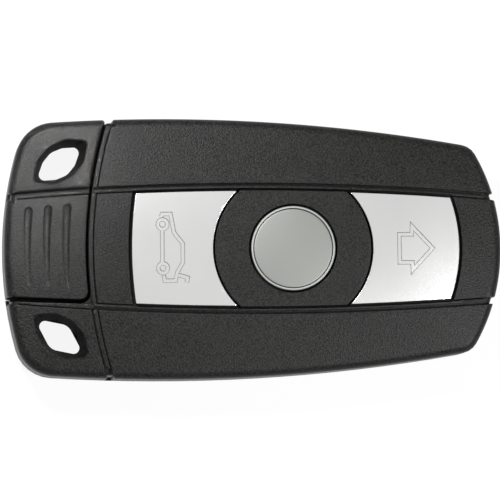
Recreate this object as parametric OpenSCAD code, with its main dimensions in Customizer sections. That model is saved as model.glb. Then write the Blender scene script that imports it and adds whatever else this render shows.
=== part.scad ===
// Slot-type car key fob with three buttons and a pull-out emergency key.
// X runs along the fob from the ring end to the slot end, Y across it, Z out of the button face.
// The origin lies under the middle of the fob, on the plane of its flat underside.

/* [Case outline] */
// Length over both ends
fob_length = 78; // [74:0.5:86]
// Width over the bowed long sides
fob_width = 40.8; // [39:0.2:46]
// Height from the underside to the top of the crowned face
fob_height = 12.8; // [12.4:0.1:15]
// Radius of each bowed long side
side_r = 275; // [200:5:400]
// Distance from the ring end to the widest place
side_apex = 25; // [15:1:40]
// Radius of the end that goes into the dashboard slot
slot_end_r = 30; // [27:0.5:50]
// Radius of the end that carries the ring holes
ring_end_r = 58; // [50:1:100]
// Corner radius at the ring end
ring_corner_r = 6; // [3:0.5:7]
// Corner radius at the slot end
slot_corner_r = 3; // [2:0.5:5]
// Rounding of the outer edges
edge_r = 1.4; // [0.8:0.1:1.8]
// Rise of the crowned face above its rim
crown_rise = 1.2; // [0.6:0.1:1.6]

/* [Shells] */
// Wall of the two shells
wall = 1.5; // [1.2:0.1:1.8]
// Floor of the lower shell
floor_t = 1.3; // [1:0.1:1.6]
// Height of the joint between the shells
parting_z = 6.3; // [5.8:0.1:7]
// Half height of the central band at mid length
band_half = 9.2; // [8.8:0.1:10]
// Radius of the bowed band edges
band_r = 450; // [300:10:800]
// Width of the long styling grooves
groove_w = 1; // [0.5:0.05:1.2]
// Width of the curved styling groove next to the grip
cross_groove_w = 1; // [0.6:0.1:1.4]
// Depth of the styling grooves
groove_depth = 0.5; // [0.3:0.05:0.7]

/* [Grip of the emergency key] */
// Length of the grip on the centre line
grip_length = 12.9; // [12.4:0.1:15]
// Radius of the curved joint between grip and case
split_r = 66; // [60:1:120]
// Gap between grip and case
split_gap = 0.45; // [0.35:0.05:0.6]
// Distance of the fixed corner's edge from the centre line at the ring end
lug_edge = 8.15; // [8:0.05:8.3]
// How far that edge falls away towards the curved joint
lug_fall = 0.45; // [0.2:0.05:0.6]
// How far the lower shell laps under the grip
joint_lap = 0.5; // [0.3:0.05:0.5]
// Clearance that lets the grip slide out past the fixed corner and the lower shell
pull_clearance = 0.15; // [0.1:0.05:0.3]
// Rise of the grip's lower edge towards its outer end
grip_taper = 0.55; // [0.3:0.05:1]
// Corner radius of the grip next to the fixed corner
grip_corner_r = 1.2; // [0.6:0.1:2]
// Number of finger grooves
finger_count = 3; // [1:1:3]
// Distance of the first finger groove from the ring end
finger_start = 3.6; // [3:0.1:5]
// Spacing of the finger grooves
finger_pitch = 3; // [2:0.05:3.2]
// Width of a finger groove
finger_w = 1.1; // [0.6:0.1:1.5]
// Length of the finger groove next to the ring end
finger_length = 12.9; // [8:0.1:13]
// Added length of each next finger groove
finger_growth = 0.5; // [0:0.1:0.6]
// Offset of the finger grooves' middle from the centre line
finger_shift = 0.2; // [0:0.05:0.4]
// Depth of a finger groove
finger_depth = 0.4; // [0.2:0.05:0.6]

/* [Ring holes] */
// Distance of the hole centres from the ring end
hole_from_end = 8.8; // [8:0.05:9.5]
// Distance of the hole centres from the centre line
hole_from_axis = 13.6; // [13:0.1:14.5]
// Length of a hole at the face
hole_length = 10.1; // [8:0.1:12]
// Width of a hole at the face
hole_width = 5.8; // [4:0.1:6]
// Slant of a hole's long axis
hole_slant = 37; // [30:1:45]
// Rounding of a hole's tips
hole_tip_r = 0.9; // [0.6:0.1:1.5]
// How far the hole narrows towards mid height
hole_taper = 0.8; // [0.3:0.1:1.1]

/* [Buttons] */
// Length of the fixed panel between the grip and the window
left_panel = 6.5; // [6.5:0.1:8]
// Length of the fixed panel at the slot end
end_panel = 6.2; // [5.5:0.1:7.2]
// Radius of the centre bezel
bezel_r = 12.3; // [11:0.05:13]
// Shift of the bezel from the middle of the window
bezel_shift = -0.5; // [-1:0.05:1]
// Diameter of the round unlock button
unlock_d = 13.2; // [12:0.1:14.5]
// Width of the unlock button's rim
rim_w = 0.5; // [0.3:0.05:0.8]
// Thickness of the badge disc at its edge
badge_t = 0.7; // [0.5:0.05:0.9]
// Radius of the badge disc's domed face
badge_dome_r = 80; // [60:5:150]
// Gap round each button cap
cap_gap = 0.25; // [0.2:0.05:0.35]
// Extra gap at the outer end of each end cap
end_slack = 0.2; // [0.1:0.05:0.3]
// Gap between the bezel and the caps
bezel_gap = 0.25; // [0.2:0.05:0.6]
// How far the caps stand proud of the crown
cap_proud = 0.15; // [0.05:0.05:0.3]
// Travel of each button
button_travel = 0.4; // [0.2:0.05:0.4]
// Width of the retaining flanges
flange_w = 0.6; // [0.4:0.05:0.8]
// Thickness of the retaining flanges
flange_t = 0.6; // [0.5:0.05:0.7]
// Height of the shell's ceiling above the flanges
ceiling_z = 11.1; // [10.8:0.05:11.2]
// Clearance between a flange and what retains it
flange_clear = 0.1; // [0.05:0.05:0.2]

/* [Keypad and switches] */
// Radius of a plunger
plunger_r = 1.6; // [1.2:0.1:2]
// Clearance round a plunger
plunger_clear = 0.3; // [0.2:0.05:0.5]
// Thickness of the silicone mat
mat_t = 0.7; // [0.5:0.05:0.9]
// Width of the mat's standing skirt
mat_skirt = 1; // [0.8:0.1:1.4]
// Distance of the mat's edge inside the window
mat_inset = 1; // [0.6:0.1:1.6]
// Length and width of a switch body
switch_size = 4.4; // [4:0.1:5]
// Height of a switch body
switch_h = 1.4; // [1.2:0.1:1.6]
// Radius of a switch stem
stem_r = 0.8; // [0.6:0.05:1]
// Running fit of a stem in its switch
stem_fit = 0.08; // [0.05:0.01:0.1]
// Height of a stem above its switch body
stem_rise = 0.5; // [0.5:0.05:0.6]
// Height of the mat's sheet above the stems
mat_lift = 0.4; // [0.3:0.05:0.6]

/* [Board] */
// Height of the board's underside
board_z = 5.6; // [5.5:0.05:5.8]
// Thickness of the board
board_t = 1; // [0.8:0.1:1]
// Gap between the board and the walls
board_gap = 0.4; // [0.3:0.05:0.7]
// Radius of a board post
post_r = 1.3; // [1.1:0.1:1.6]
// Radius of a locating pin
pin_r = 0.6; // [0.5:0.05:0.7]
// Height of a locating pin above the board
pin_rise = 0.5; // [0.3:0.1:0.8]
// Clearance round a locating pin
pin_clear = 0.12; // [0.08:0.01:0.2]
// Distance of the posts from the long sides
post_from_side = 7.4; // [7:0.1:8]
// Distance of the posts from the grip's joint and from the slot-end panel
post_from_end = 6; // [5:0.1:7]
// Distance of the chips and the antenna from the band edge
rail_offset = 3.4; // [3:0.1:4]
// Length and width of the controller chip
controller_size = 5.5; // [4:0.5:6]
// Length and width of the radio chip
radio_size = 4; // [3:0.5:5]
// Height of the chips
chip_h = 0.9; // [0.6:0.1:1.2]
// Length of the crystal
crystal_length = 3.2; // [2.5:0.1:4]
// Width of the crystal
crystal_w = 2.5; // [2:0.1:3]
// Number of chip capacitors and resistors
passive_count = 7; // [4:1:9]
// Length of a chip capacitor
passive_length = 1.6; // [1:0.1:2]
// Spacing of the chip capacitors
passive_pitch = 1.5; // [1.2:0.1:1.6]
// Length of the antenna core
core_length = 14; // [10:0.5:16]
// Height and width of the antenna core's end blocks
core_end = 3; // [2.6:0.1:3.2]
// Length of an end block
core_end_length = 2.4; // [1.5:0.1:3]
// Thickness of the antenna winding
winding_t = 0.45; // [0.3:0.05:0.5]
// Thickness of the antenna core inside the winding
core_bar = 1.9; // [1.5:0.1:2]

/* [Coin cell and rear cover] */
// Diameter of the coin cell
cell_d = 20; // [19.5:0.1:20.2]
// Thickness of the coin cell
cell_t = 3.2; // [2.5:0.1:3.2]
// Place of the cell along the fob, from the bezel centre
cell_shift = -5; // [-6:0.5:0]
// Distance of the cell from the centre line
cell_offset = 7; // [6.9:0.1:7.2]
// Clearance round the cell
cell_clear = 0.25; // [0.15:0.05:0.35]
// Height of the raised seat under the cell
cell_seat = 0.1; // [0.05:0.05:0.15]
// Bevel of the cell's edges
cell_bevel = 0.3; // [0.2:0.05:0.4]
// Wall of the cell well
well_wall = 0.8; // [0.6:0.1:1]
// Length of the rear cover
cover_length = 26; // [24:0.5:28]
// Width of the rear cover
cover_width = 22; // [21.6:0.1:22.2]
// Corner radius of the rear cover
cover_corner_r = 5; // [4:0.5:6]
// Thickness of the rear cover
cover_t = 1.3; // [1:0.05:1.35]
// Gap round the rear cover
cover_gap = 0.15; // [0.1:0.05:0.25]
// How far the cover and the latch lie inside the underside
rear_recess = 0.1; // [0.05:0.05:0.15]
// Thickness of the ledge that the cover seats on
ledge_t = 0.8; // [0.6:0.1:0.9]
// Width of the thumb ribs on the cover and the latch
rib_w = 0.7; // [0.5:0.05:0.8]
// Distance of the cover's thumb ribs from its edge
rib_from_edge = 3.2; // [3:0.1:5]
// Thickness of the sealing ring
seal_t = 0.5; // [0.4:0.05:0.6]
// Thickness of the contact strips
contact_t = 0.25; // [0.2:0.05:0.3]
// Width of the contact strips
contact_w = 3; // [2:0.1:4]
// Gap between a contact and the cell
contact_gap = 0.05; // [0.02:0.01:0.1]
// Length of the soldered foot of the side contact
contact_foot = 1.2; // [0.8:0.1:1.6]
// Half length of the spring contact above the cell
contact_arm = 5; // [4:0.5:6]
// Length of the spring contact's touching tip
contact_tip = 1; // [0.6:0.1:1.4]
// Width of the sealing ring
seal_w = 1; // [0.8:0.1:1.2]
// Play of the sealing ring in its groove
seal_fit = 0.1; // [0.05:0.01:0.12]

/* [Emergency blade] */
// Width of the blade
blade_w = 5.8; // [5:0.1:5.9]
// Thickness of the blade
blade_t = 2.4; // [1.8:0.1:2.5]
// Height of the blade's underside
blade_z = 2.6; // [2.5:0.05:2.8]
// Distance of the blade's near edge from the centre line
blade_y = 3.8; // [3.7:0.05:4]
// Length of the blade outside the grip
blade_reach = 52; // [40:1:54]
// Length of the blade inside the grip
blade_root = 9; // [6:0.5:9.5]
// Clearance between the blade and its channel
blade_clear = 0.25; // [0.15:0.05:0.3]
// Fit of the blade in the grip
blade_fit = 0.05; // [0.02:0.01:0.1]
// Width of the milled track in the blade
track_w = 2.2; // [1.5:0.1:2.6]
// Depth of the milled track
track_depth = 0.6; // [0.3:0.05:0.7]
// Radius of the pin through the blade
blade_pin_r = 0.9; // [0.6:0.05:1.1]
// Chamfer of the blade's tip
blade_tip = 1.9; // [1:0.1:2.4]
// Room between the blade channel and the board
channel_headroom = 0.3; // [0.2:0.05:0.4]
// Wall of the blade channel
channel_wall = 0.7; // [0.6:0.05:0.8]

/* [Release latch] */
// Distance of the latch from the grip's joint
latch_from_split = 6.4; // [6:0.1:7]
// Distance of the latch from the centre line
latch_offset = 0.6; // [0.4:0.1:0.8]
// Length of the latch thumb pad along the fob
latch_length = 6; // [4:0.1:6.2]
// Width of the latch thumb pad
latch_w = 4; // [3:0.1:4.4]
// Travel of the latch
latch_travel = 1.5; // [0.5:0.1:1.6]
// Gap round the latch
latch_gap = 0.2; // [0.15:0.05:0.3]
// How far the latch plate laps over the edges of its slot
latch_lap = 0.5; // [0.3:0.1:0.6]
// Sliding fit of the latch plate on the floor
slide_fit = 0.05; // [0.03:0.01:0.1]
// Gap between the tooth and the blade at rest
tooth_gap = 0.3; // [0.2:0.05:0.4]
// Thickness of the latch plate on the floor
latch_plate_t = 1; // [0.8:0.1:1.1]
// Width of the latch tooth
tooth_w = 2.4; // [1.5:0.1:3]
// Depth of the notch in the blade
notch_depth = 1; // [0.5:0.1:1.4]
// Outer radius of the latch spring
spring_r = 0.9; // [0.7:0.05:1]
// Radius of the spring wire
spring_wire_r = 0.18; // [0.15:0.01:0.2]
// Number of coils in the latch spring
spring_coils = 5; // [3:1:6]
// Length of the latch spring at rest
spring_length = 4; // [3.5:0.1:4.5]

/* [Hidden] */

// Thin slice used where outlines are lofted
slice = 0.01;
// How far a ring hole's tips draw in where its sides draw in by one
hole_tip_pull = 1.7;
// Overlap that makes cuts run clear through a face
through = 1;
// Facets of the large arcs, the end arcs and the small rounds
arc_fn = 480;
end_fn = 120;
round_fn = 32;

x_ring = -fob_length / 2;
x_slot = fob_length / 2;
side_x = x_ring + side_apex;
rim_z = fob_height - crown_rise;
split_x = x_ring + grip_length;
split_cx = split_x + split_r;
slot_cx = x_slot - slot_end_r;
window_left = split_x + left_panel;
window_right = x_slot - end_panel;
bezel_x = (window_left + window_right) / 2 + bezel_shift;
trunk_x = (window_left + bezel_x - bezel_r) / 2;
lock_x = (bezel_x + bezel_r + window_right) / 2;
button_xs = [trunk_x, bezel_x, lock_x];
grip_low = lug_edge - pull_clearance;

board_top = board_z + board_t;
switch_top = board_top + switch_h;
stem_top = switch_top + stem_rise;
flange_z = ceiling_z - flange_clear - flange_t;
mat_z = stem_top + mat_lift;
rail_ceiling = rim_z - wall;
unlock_r = unlock_d / 2;
unlock_hole_r = unlock_r + cap_gap;
badge_seat_z = fob_height - badge_t;

// Two posts near the grip and two near the slot end
posts_x = [split_x + post_from_end, window_right - post_from_end];
post_y = fob_width / 2 - post_from_side;
rail_y = band_half + rail_offset;

cell_x = bezel_x + cell_shift;
cell_y = -cell_offset;
cell_r = cell_d / 2;
well_r = cell_r + cell_clear;
cover_top = rear_recess + cover_t;
pad_top = cover_top + ledge_t;
cell_z = cover_top + cell_seat;
cell_top = cell_z + cell_t;

blade_root_x = split_x - blade_root;
blade_tip_x = split_x + blade_reach;
channel_y0 = blade_y - blade_clear;
channel_y1 = blade_y + blade_w + blade_clear;
channel_z = blade_z - blade_clear;
channel_top = board_z - channel_headroom;

latch_x = split_x + latch_from_split;
latch_y = -latch_offset;
latch_plate_z = floor_t + slide_fit;
latch_back_y = latch_y - latch_w / 2 - latch_travel - latch_gap - latch_lap;
tooth_tip_y = blade_y - tooth_gap;
spring_y0 = latch_back_y - spring_length;

// Centres of the corner arcs on the +Y side and the angles where the arcs change over
side_cy = side_r - fob_width / 2;
ring_cx = x_ring + ring_end_r;
slot_corner = corner_centre(slot_cx, slot_end_r - slot_corner_r, side_r - slot_corner_r, 1);
ring_corner = corner_centre(ring_cx, ring_end_r - ring_corner_r, side_r - ring_corner_r, -1);
slot_turn = atan2(slot_corner.y, slot_corner.x - slot_cx);
side_from = atan2(slot_corner.y + side_cy, slot_corner.x - side_x);
side_to = atan2(ring_corner.y + side_cy, ring_corner.x - side_x);
ring_turn = atan2(ring_corner.y, ring_corner.x - ring_cx);

// Outline arcs on the +Y side: centre, radius, first and last angle, steps
upper_arcs = [
    [[slot_cx, 0], slot_end_r, 0, slot_turn, 6],
    [slot_corner, slot_corner_r, slot_turn, side_from, 5],
    [[side_x, -side_cy], side_r, side_from, side_to, 16],
    [ring_corner, ring_corner_r, side_to, ring_turn, 6],
    [[ring_cx, 0], ring_end_r, ring_turn, 180, 6]
];
lower_arcs = [for (i = [len(upper_arcs) - 1:-1:0]) let (arc = upper_arcs[i])
    [[arc[0].x, -arc[0].y], arc[1], 360 - arc[3], 360 - arc[2], arc[4]]];

// Outline points, each with its outward direction
outline_points = [for (arc = concat(upper_arcs, lower_arcs), i = [0:arc[4] - 1])
    let (a = arc[2] + (arc[3] - arc[2]) * i / arc[4], away = [cos(a), sin(a)])
        [arc[0] + arc[1] * away, away]];

// Ridge that the crowned face rises to
ridge_half = (fob_length - fob_width) / 2;
// Loft levels of the body: height, inset, share of the way to the ridge, way it moves when it shrinks
pillow_levels = concat(
    [for (a = [90:-30:0]) [edge_r * (1 - sin(a)), edge_r * (1 - cos(a)), 0, 1]],
    [for (a = [0:27:81]) [rim_z - edge_r * (1 - sin(a)), edge_r * (1 - cos(a)), 0, -1]],
    [for (t = [0.12, 0.27, 0.45, 0.65, 0.85])
        [rim_z + crown_rise * (1 - pow(1 - t, 2)) / (1 - pow(0.15, 2)), edge_r, t, -1]]
);

// Centre of a corner arc between an end arc and the +Y side arc
function corner_centre(end_cx, end_r, long_r, way) =
    let (
        away = [side_x - end_cx, -side_cy],
        d = norm(away),
        along = (end_r * end_r - long_r * long_r + d * d) / (2 * d),
        across = sqrt(end_r * end_r - along * along)
    )
        [end_cx, 0] + along * away / d + way * across * [side_cy, side_x - end_cx] / d;

function pillow_point(level, p, shrink) =
    let (
        rim = p[0] - (level[1] + shrink) * p[1],
        ridge = [max(-ridge_half, min(ridge_half, rim.x)), 0],
        xy = rim + level[2] * (ridge - rim)
    )
        [xy.x, xy.y, level[0] + level[3] * shrink];

// Everything on the ring side of an arc about the slot end's centre
module slot_disc(r) {
    translate([slot_cx, 0]) circle(r, $fn = end_fn);
    translate([x_ring - through, -fob_width]) square([slot_cx - x_ring + through, 2 * fob_width]);
}

// Plan outline as four arcs with sharp corners
module sharp_outline(inset) {
    intersection() {
        translate([side_x, -side_cy]) circle(side_r - inset, $fn = arc_fn);
        translate([side_x, side_cy]) circle(side_r - inset, $fn = arc_fn);
        slot_disc(slot_end_r - inset);
        translate([ring_cx, 0]) circle(ring_end_r - inset, $fn = 2 * end_fn);
    }
}

// Whole outer body, or the same body shrunk all round
module pillow(shrink = 0) {
    n = len(outline_points);
    top = (len(pillow_levels) - 1) * n;
    points = [for (level = pillow_levels, p = outline_points) pillow_point(level, p, shrink)];
    sides = [for (k = [0:len(pillow_levels) - 2], i = [0:n - 1])
        let (a = k * n + i, b = k * n + (i + 1) % n)
            each [[a, b + n, b], [a, a + n, b + n]]];
    underside = [for (i = [0:n - 1]) i];
    face = [for (i = [n - 1:-1:0]) top + i];
    polyhedron(points, concat(sides, [underside, face]));
}

// Rounds the outward corners of a plan area
module round_corners(r) {
    offset(r = r, $fn = round_fn) offset(delta = -r) children();
}

module slab(z0, z1) {
    translate([0, 0, z0]) linear_extrude(z1 - z0) children();
}

// Lens between the two bowed band edges
module band_area(half) {
    intersection() {
        translate([0, half - band_r]) circle(band_r, $fn = 2 * arc_fn);
        translate([0, band_r - half]) circle(band_r, $fn = 2 * arc_fn);
    }
}

module split_disc(r) {
    translate([split_cx, 0]) circle(r, $fn = arc_fn);
}

module groove_area() {
    difference() {
        band_area(band_half + groove_w);
        band_area(band_half);
    }
    difference() {
        split_disc(split_r);
        split_disc(split_r - cross_groove_w);
        translate([bezel_x, -fob_width]) square([2 * split_r, 2 * fob_width]);
    }
    intersection() {
        band_area(band_half + groove_w);
        difference() {
            translate([x_ring - through, -band_half])
                square([grip_length + 2 * through, band_half - lug_edge]);
            split_disc(split_r);
        }
    }
}

module groove_cut() {
    difference() {
        slab(edge_r, fob_height + through) groove_area();
        pillow(groove_depth);
    }
}

// Plan area beside the curved joint, above a straight edge between its heights at ring end and joint
module corner_area(ring_y, joint_y, joint_r, corner_r) {
    slope = (joint_y - ring_y) / grip_length;
    outer_x = x_ring - 2 * grip_corner_r;
    round_corners(corner_r)
        difference() {
            polygon([
                [outer_x, ring_y + slope * (outer_x - x_ring)],
                [window_left, ring_y + slope * (window_left - x_ring)],
                [window_left, fob_width],
                [outer_x, fob_width]
            ]);
            split_disc(joint_r);
        }
}

module grip_area(taper, lap) {
    corner_area(lap + taper - grip_low, lap - grip_low, split_r + split_gap / 2 + lap, grip_corner_r - lap);
}

// Plan area of a shell beside the grip
module shell_area(gap, fall, lap) {
    difference() {
        square([2 * fob_length, 2 * fob_width], center = true);
        corner_area(lap - lug_edge, lap - lug_edge - fall, split_r + split_gap / 2 - gap + lap,
            grip_corner_r + gap - lap);
    }
}

module cavity_area(inset) {
    intersection() {
        sharp_outline(wall + inset);
        split_disc(split_r - cross_groove_w - wall - inset);
    }
}

module window_area(grow, slack = 0) {
    intersection() {
        band_area(band_half + grow);
        split_disc(split_r - left_panel + grow - slack);
        slot_disc(slot_end_r - end_panel + grow - slack);
    }
}

// Rounds at the middle and the tips of a slanted diamond
module ring_hole_area(inset) {
    rotate(hole_slant) {
        circle(hole_width / 2 - inset, $fn = 2 * round_fn);
        for (end = [-1, 1])
            translate([end * (hole_length / 2 - hole_tip_r - hole_tip_pull * inset), 0])
                circle(hole_tip_r, $fn = round_fn);
    }
}

// Ring hole that narrows from the face at z_face to mid height
module ring_hole(z_face) {
    z_out = z_face > parting_z ? z_face + slice : z_face - slice;
    translate([x_ring + hole_from_end, hole_from_axis, 0])
        hull() {
            translate([0, 0, z_out]) linear_extrude(slice) ring_hole_area(0);
            translate([0, 0, parting_z - slice / 2]) linear_extrude(slice) ring_hole_area(hole_taper);
        }
}

module at_posts() {
    for (x = posts_x, side = [-1, 1])
        translate([x, side * post_y, 0]) children();
}

module rod(r, z0, z1) {
    translate([0, 0, z0]) cylinder(r = r, h = z1 - z0, $fn = round_fn);
}

module box(x0, x1, y0, y1, z0, z1) {
    translate([x0, y0, z0]) cube([x1 - x0, y1 - y0, z1 - z0]);
}

module rounded_plate(length, width, r, z0, z1) {
    slab(z0, z1) {
        square([length - 2 * r, width], center = true);
        square([length, width - 2 * r], center = true);
        for (x = [-1, 1], y = [-1, 1])
            translate([x * (length / 2 - r), y * (width / 2 - r)]) circle(r, $fn = round_fn);
    }
}

module upper_shell() {
    color("#3c3c3a")
    difference() {
        union() {
            difference() {
                intersection() {
                    pillow();
                    slab(parting_z, fob_height + through) shell_area(split_gap, lug_fall, 0);
                }
                slab(parting_z - through, rail_ceiling) cavity_area(0);
            }
            at_posts() rod(post_r, board_top, rail_ceiling + slice);
        }
        groove_cut();
        slab(parting_z, ceiling_z) window_area(flange_w + cap_gap);
        slab(ceiling_z - through, fob_height + through) window_area(0);
        mirror([0, 1, 0]) ring_hole(fob_height);
        at_posts() rod(pin_r + pin_clear, board_top - through, board_top + pin_rise + pin_clear);
    }
}

module latch_slot() {
    reach = latch_travel + latch_gap;
    box(latch_x - latch_length / 2 - latch_gap, latch_x + latch_length / 2 + latch_gap,
        latch_y - latch_w / 2 - reach, latch_y + latch_w / 2 + latch_gap, -through, floor_t + through);
}

module lower_shell() {
    color("#383836")
    difference() {
        union() {
            difference() {
                intersection() {
                    pillow();
                    slab(-through, parting_z) shell_area(pull_clearance, 0, joint_lap);
                }
                slab(floor_t, parting_z + through) cavity_area(0);
            }
            intersection() {
                slab(floor_t - slice, parting_z) cavity_area(0);
                union() {
                    translate([cell_x, cell_y, 0])
                        rounded_plate(cover_length + 2 * wall, cover_width + 2 * wall,
                            cover_corner_r + wall, floor_t - slice, pad_top);
                    translate([cell_x, cell_y, 0])
                        rod(well_r + well_wall, floor_t - slice, cell_top - well_wall);
                    box(latch_x + latch_length / 2 + latch_lap + latch_gap, blade_tip_x + 2 * blade_clear,
                        channel_y0 - channel_wall, channel_y1 + channel_wall, floor_t - slice, channel_top);
                    box(latch_x - spring_r, latch_x + spring_r, spring_y0 - channel_wall, spring_y0,
                        floor_t - slice, latch_plate_z + 2 * spring_r);
                }
            }
            at_posts() rod(post_r, floor_t - slice, board_z);
            at_posts() rod(pin_r, floor_t - slice, board_top + pin_rise);
        }
        groove_cut();
        mirror([0, 1, 0]) ring_hole(0);
        box(x_ring, blade_tip_x + blade_clear, channel_y0, channel_y1, channel_z, board_z);
        translate([cell_x, cell_y, 0])
            rounded_plate(cover_length + 2 * cover_gap, cover_width + 2 * cover_gap,
                cover_corner_r + cover_gap, -through, cover_top);
        translate([cell_x, cell_y, 0]) rod(well_r, 0, parting_z);
        translate([cell_x - well_r - 2 * contact_t, cell_y - contact_w / 2 - cell_clear, pad_top])
            cube([well_r, contact_w + 2 * cell_clear, parting_z]);
        latch_slot();
    }
}

module centre_bezel() {
    color("#3d3d3b")
    difference() {
        union() {
            intersection() {
                pillow();
                slab(flange_z, fob_height + through)
                    intersection() {
                        translate([bezel_x, 0]) circle(bezel_r, $fn = end_fn);
                        band_area(band_half - cap_gap);
                    }
            }
            slab(flange_z, ceiling_z)
                intersection() {
                    translate([bezel_x, 0]) circle(bezel_r, $fn = end_fn);
                    band_area(band_half + flange_w);
                }
        }
        translate([bezel_x, 0, 0]) rod(unlock_hole_r, flange_z - through, fob_height + through);
        translate([bezel_x, 0, 0])
            rod(unlock_r + flange_w + cap_gap, flange_z - through, flange_z + flange_t + flange_clear);
    }
}

// Cap that fills one end of the window, on the given side of the bezel
module end_cap(side) {
    union() {
        intersection() {
            pillow(-cap_proud);
            slab(flange_z, fob_height + through) cap_area(side, -cap_gap, end_slack);
        }
        slab(flange_z, flange_z + flange_t) cap_area(side, flange_w);
    }
}

module cap_area(side, grow, slack = 0) {
    difference() {
        window_area(grow, slack);
        translate([bezel_x, 0]) circle(bezel_r + bezel_gap, $fn = end_fn);
        translate([bezel_x - (side > 0 ? fob_length : 0), -fob_width]) square([fob_length, 2 * fob_width]);
    }
}

module trunk_button() {
    color("#e2e2e0") end_cap(-1);
}

module lock_button() {
    color("#e2e2e0") end_cap(1);
}

module unlock_button() {
    flange_top = flange_z + flange_t;
    rim_top = fob_height + cap_proud;
    color("#d7d8d4")
    translate([bezel_x, 0, 0])
        rotate_extrude($fn = end_fn)
            polygon([
                [0, flange_z],
                [unlock_r + flange_w, flange_z],
                [unlock_r + flange_w, flange_top],
                [unlock_r, flange_top],
                [unlock_r, rim_top - rim_w / 2],
                [unlock_r - rim_w / 2, rim_top],
                [unlock_r - rim_w, rim_top],
                [unlock_r - rim_w, badge_seat_z],
                [0, badge_seat_z]
            ]);
}

module badge_disc() {
    badge_r = unlock_r - rim_w - stem_fit;
    dome_drop = badge_dome_r - sqrt(pow(badge_dome_r, 2) - pow(badge_r, 2));
    color("#aaada8")
    translate([bezel_x, 0, 0])
        rotate_extrude($fn = end_fn)
            intersection() {
                translate([0, badge_seat_z]) square([badge_r, badge_t + dome_drop]);
                translate([0, fob_height + dome_drop - badge_dome_r]) circle(badge_dome_r, $fn = 2 * arc_fn);
            }
}

module keypad_mat() {
    color("#8d8f90")
    difference() {
        slab(board_top, mat_z + mat_t) window_area(-mat_inset);
        slab(board_top - through, mat_z) window_area(-mat_inset - mat_skirt);
        for (x = button_xs)
            translate([x, 0, 0]) rod(plunger_r + plunger_clear, mat_z - through, mat_z + mat_t + through);
    }
}

module plunger(x) {
    color("#b9bbbb") translate([x, 0, 0]) rod(plunger_r, stem_top, flange_z);
}

module trunk_plunger() {
    plunger(trunk_x);
}

module unlock_plunger() {
    plunger(bezel_x);
}

module lock_plunger() {
    plunger(lock_x);
}

module circuit_board() {
    color("#1f5c3a")
    difference() {
        slab(board_z, board_top) cavity_area(board_gap);
        at_posts() rod(pin_r + pin_clear, board_z - through, board_top + through);
    }
}

module switch_bodies() {
    color("#c9c9c4")
    for (x = button_xs)
        translate([x, 0, 0])
            difference() {
                slab(board_top, switch_top) square(switch_size, center = true);
                rod(stem_r + stem_fit, board_top - through, switch_top + through);
            }
}

module switch_stem(x) {
    color("#2a2a2a") translate([x, 0, 0]) rod(stem_r, board_top + button_travel + flange_clear, stem_top);
}

module trunk_switch_stem() {
    switch_stem(trunk_x);
}

module unlock_switch_stem() {
    switch_stem(bezel_x);
}

module lock_switch_stem() {
    switch_stem(lock_x);
}

module chip(x, y, length, width) {
    slab(board_top, board_top + chip_h) translate([x, y]) square([length, width], center = true);
}

module controller_chip() {
    color("#26282a") chip(bezel_x, -rail_y, controller_size, controller_size);
}

module radio_chip() {
    color("#26282a") chip(trunk_x, -rail_y, radio_size, radio_size);
}

module crystal() {
    color("#c4c6c8") chip((trunk_x + bezel_x) / 2, -rail_y, crystal_length, crystal_w);
}

module board_passives() {
    width = passive_length / 2;
    color("#b49a78")
    for (i = [0:passive_count - 1])
        translate([bezel_x + controller_size + i * passive_pitch, -rail_y, board_top + width / 2])
            cube([width, passive_length, width], center = true);
}

module antenna_core() {
    color("#4a4644")
    translate([bezel_x, rail_y, board_top + core_end / 2]) {
        cube([core_length - 2 * core_end_length, core_bar, core_bar], center = true);
        for (side = [-1, 1])
            translate([side * (core_length - core_end_length) / 2, 0, 0])
                cube([core_end_length, core_end, core_end], center = true);
    }
}

module antenna_winding() {
    length = core_length - 2 * core_end_length;
    color("#a8632c")
    translate([bezel_x, rail_y, board_top + core_end / 2])
        difference() {
            cube([length, core_bar + 2 * winding_t, core_bar + 2 * winding_t], center = true);
            cube([length + through, core_bar, core_bar], center = true);
        }
}

module coin_cell() {
    color("#c8cacb")
    translate([cell_x, cell_y, 0])
        rotate_extrude($fn = end_fn)
            polygon([
                [0, cell_z],
                [cell_r - cell_bevel, cell_z],
                [cell_r, cell_z + cell_bevel],
                [cell_r, cell_top - 2 * cell_bevel],
                [cell_r - 3 * cell_bevel, cell_top],
                [0, cell_top]
            ]);
}

module contact_plus() {
    leg_x = cell_x - cell_r - contact_gap - contact_t;
    leg_z = pad_top + flange_clear;
    color("#d8c088")
    translate([leg_x, cell_y - contact_w / 2, 0]) {
        translate([0, 0, leg_z]) cube([contact_t, contact_w, board_z - leg_z]);
        translate([-contact_foot, 0, board_z - contact_t])
            cube([contact_foot + contact_t, contact_w, contact_t]);
    }
}

module contact_minus() {
    tip_z = cell_top + contact_gap;
    bend_x = contact_arm - contact_tip;
    color("#d8c088")
    translate([cell_x, cell_y + contact_w / 2, 0])
        rotate([90, 0, 0])
            linear_extrude(contact_w)
                polygon([
                    [-contact_arm, board_z],
                    [-contact_arm, board_z - contact_t],
                    [-contact_tip, board_z - contact_t],
                    [bend_x, tip_z],
                    [contact_arm, tip_z],
                    [contact_arm, tip_z + contact_t],
                    [bend_x, tip_z + contact_t],
                    [-contact_tip, board_z]
                ]);
}

// Row of shallow ribs cut into an outside face on the underside
module thumb_ribs(length, across) {
    for (i = [-1:1])
        translate([across.x * i * 2 * rib_w, across.y * i * 2 * rib_w, 0])
            cube([
                across.x > 0 ? rib_w : length,
                across.y > 0 ? rib_w : length,
                2 * (rear_recess + groove_depth)
            ], center = true);
}

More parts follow.
